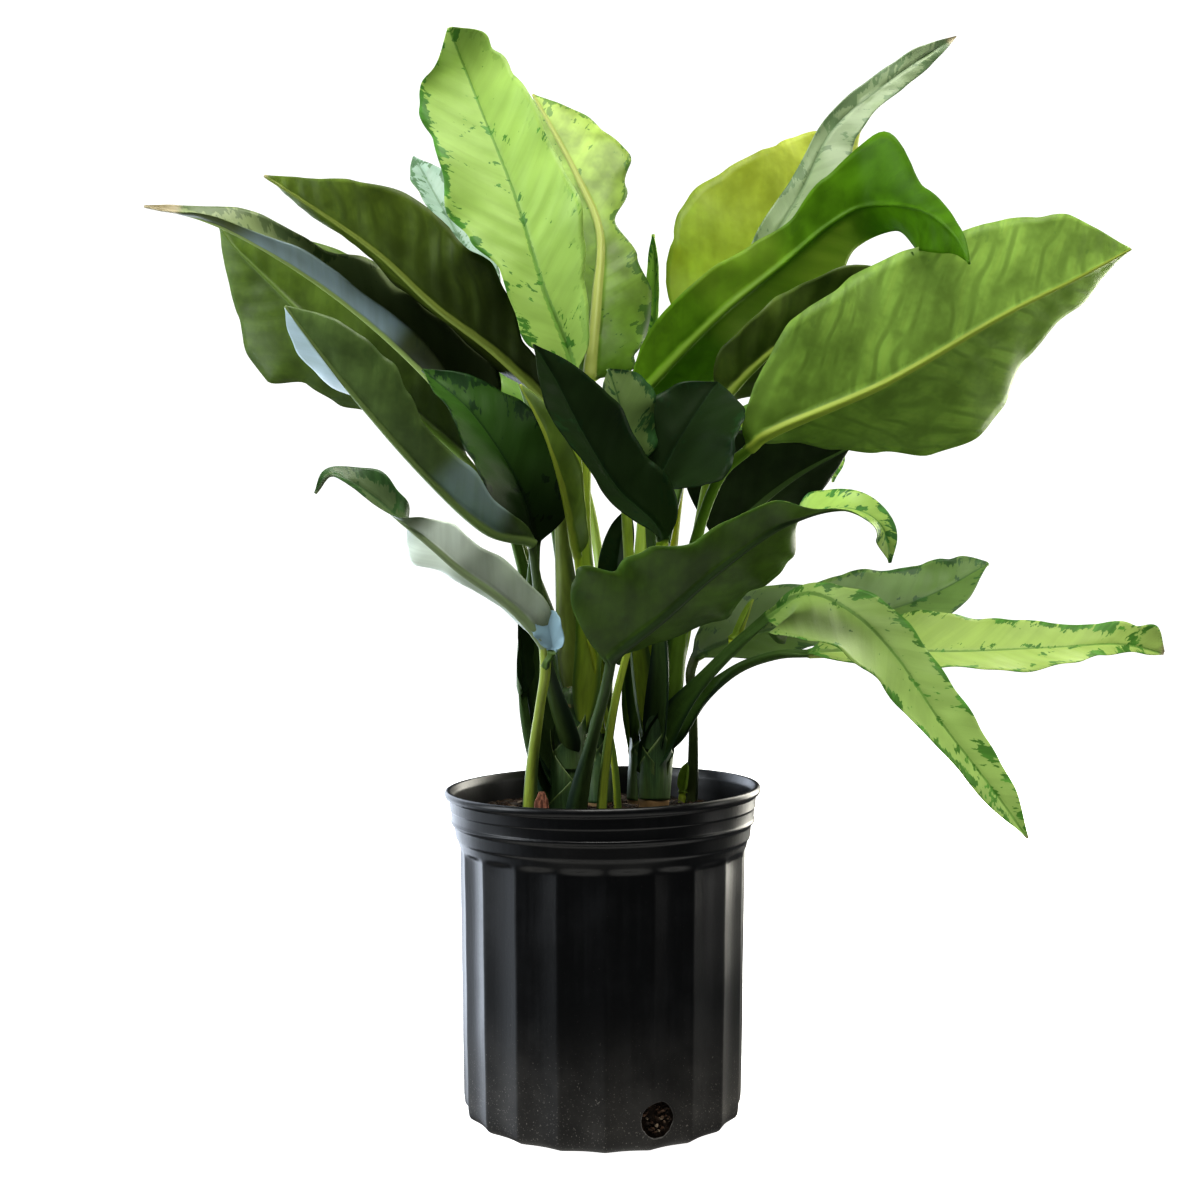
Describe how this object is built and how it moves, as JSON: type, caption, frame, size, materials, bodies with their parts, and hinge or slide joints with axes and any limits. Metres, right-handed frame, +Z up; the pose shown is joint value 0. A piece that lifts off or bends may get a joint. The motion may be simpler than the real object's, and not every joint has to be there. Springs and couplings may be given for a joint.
{
  "type": "potted chinese evergreen",
  "caption": "Chinese evergreen with long pale green, dark-blotched leaves fanning from short canes in a black fluted plastic nursery pot.",
  "frame": {"origin": "middle of the pot's flat underside, on the surface that it stands on", "axes": "+Z up, +X to the right of the picture's view, +Y away from the picture's camera"},
  "size_m": [0.6984, 0.4202, 0.7747],
  "materials": {
    "pot_plastic": "satin",
    "soil_mix": "matte",
    "bark": "matte",
    "cane_skin": "satin",
    "leaf_light": "satin",
    "leaf_mid": "satin",
    "leaf_dark": "satin",
    "leaf_yellow": "satin"
  },
  "bodies": {
    "root": {"pot": "pot_plastic", "soil": "soil_mix", "bark_chip": "bark", "cane_left": "cane_skin", "cane_right": "cane_skin", "cane_back_left": "cane_skin", "cane_back_right": "cane_skin", "leaf_blue_tip": "leaf_mid", "leaf_behind_top": "leaf_mid", "leaf_top_center": "leaf_light", "leaf_new_spike": "leaf_mid", "leaf_yellow_right": "leaf_yellow", "leaf_narrow_right": "leaf_mid", "leaf_arching": "leaf_mid", "leaf_olive_left": "leaf_dark", "leaf_far_left": "leaf_mid", "leaf_far_left_olive": "leaf_dark", "leaf_rolled": "leaf_dark", "leaf_dark_left": "leaf_dark", "leaf_narrow_olive": "leaf_yellow", "leaf_twisted_left": "leaf_mid", "leaf_beside_cane": "leaf_dark", "leaf_dark_center": "leaf_dark", "leaf_strap": "leaf_dark", "leaf_spotted": "leaf_mid", "leaf_big_right": "leaf_mid", "leaf_between_right": "leaf_mid", "leaf_small_tip": "leaf_light", "leaf_behind_stalk": "leaf_dark", "leaf_front": "leaf_dark", "leaf_upper_level_right": "leaf_mid", "leaf_level_right": "leaf_light", "leaf_drooping": "leaf_light", "leaf_back_left": "leaf_mid", "leaf_back_right": "leaf_mid"}
  },
  "joints": []
}
